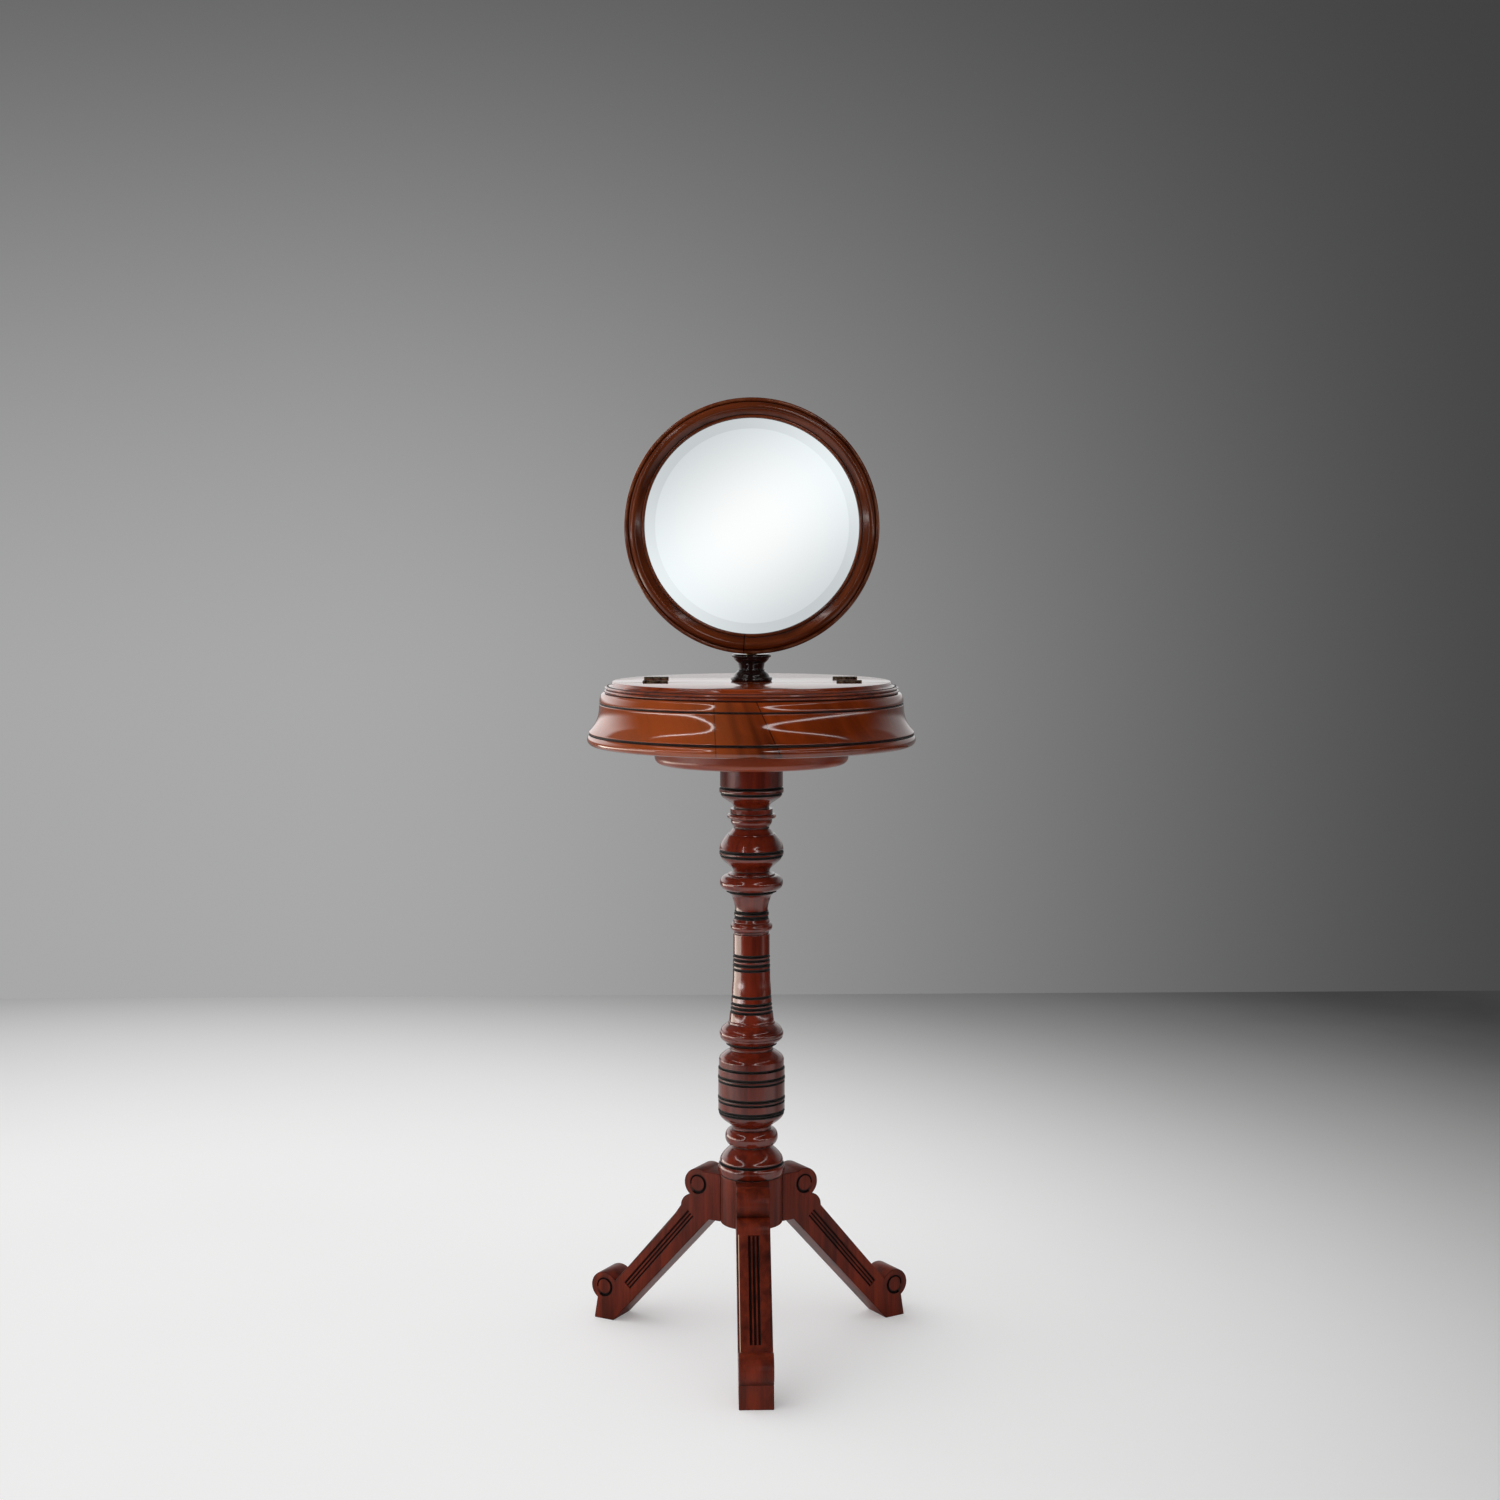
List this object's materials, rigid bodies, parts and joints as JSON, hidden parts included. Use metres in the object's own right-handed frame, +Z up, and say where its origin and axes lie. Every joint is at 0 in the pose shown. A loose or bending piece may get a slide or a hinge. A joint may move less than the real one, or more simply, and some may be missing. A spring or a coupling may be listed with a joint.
{
  "type": "vanity mirror",
  "caption": "Free-standing shaving stand: a round tilting mirror on a sliding rod above a round lidded case, on a turned column with scrolled tripod legs.",
  "frame": {"origin": "the point of the floor under the column's axis, midway between the three feet", "axes": "+Z up along the column, -Y towards the person who uses the mirror and along the front leg, +X to the right of the picture"},
  "size_m": [0.434, 0.4513, 1.2442],
  "materials": {
    "base_mahogany": "old polish, worn lighter along the edges",
    "column_mahogany": "glossy polish, dark in the turned grooves",
    "disc_mahogany": "polished",
    "case_veneer": "very glossy polished figured veneer",
    "lid_mahogany": "glossy polish",
    "frame_mahogany": "glossy polish",
    "inner_wood": "unpolished",
    "ebonised_wood": "glossy black polish",
    "old_brass": "dark patina",
    "bright_brass": "polished, a little dull",
    "steel": "plain",
    "silvered_glass": "bevelled silvered plate"
  },
  "bodies": {
    "stand": {"hub": "base_mahogany", "leg_front": "base_mahogany", "leg_right": "base_mahogany", "leg_left": "base_mahogany", "leg_dowels": "inner_wood", "column": "column_mahogany", "guide_bush": "bright_brass", "under_disc": "disc_mahogany", "under_disc_screws": "steel", "case_floor": "inner_wood", "base_moulding": "case_veneer", "case_side": "case_veneer", "front_partition": "inner_wood", "rear_partition": "inner_wood", "centre_strip": "lid_mahogany", "fixed_hinge_leaves": "old_brass", "hinge_pins": "old_brass", "strip_hinge_screws": "old_brass", "collar": "ebonised_wood", "friction_sleeve": "bright_brass"},
    "front_flap": {"front_lid": "lid_mahogany", "front_hinge_leaves": "old_brass", "front_lid_screws": "old_brass"},
    "rear_flap": {"rear_lid": "lid_mahogany", "rear_hinge_leaves": "old_brass", "rear_lid_screws": "old_brass"},
    "mirror_rod": {"rod": "bright_brass", "stop_ring": "old_brass", "stop_pin": "steel", "swivel_screw": "old_brass"},
    "head": {"swivel_head": "old_brass", "friction_washers": "bright_brass", "tilt_bolt": "old_brass", "tilt_nut": "old_brass"},
    "mirror": {"mirror_frame": "frame_mahogany", "mirror_glass": "silvered_glass", "back_board": "inner_wood", "back_pins": "steel", "pivot_plate": "old_brass", "pivot_screws": "old_brass"}
  },
  "joints": [
    {"name": "front_lid_hinge", "type": "hinge", "parent": "stand", "child": "front_flap", "pos_m": [0, -0.04, 0.8829], "axis": [-1, 0, 0], "range_deg": [0, 90]},
    {"name": "rear_lid_hinge", "type": "hinge", "parent": "stand", "child": "rear_flap", "pos_m": [0, 0.04, 0.8829], "axis": [1, 0, 0], "range_deg": [0, 90]},
    {"name": "rod_slide", "type": "slide", "parent": "stand", "child": "mirror_rod", "axis": [0, 0, 1], "range_m": [0, 0.3]},
    {"name": "mirror_swivel", "type": "hinge", "parent": "mirror_rod", "child": "head", "pos_m": [0, 0, 1.055], "axis": [0, 0, 1], "continuous": true},
    {"name": "mirror_tilt", "type": "hinge", "parent": "head", "child": "mirror", "pos_m": [0, 0, 1.081], "axis": [-1, 0, 0], "range_deg": [0, 35]}
  ]
}
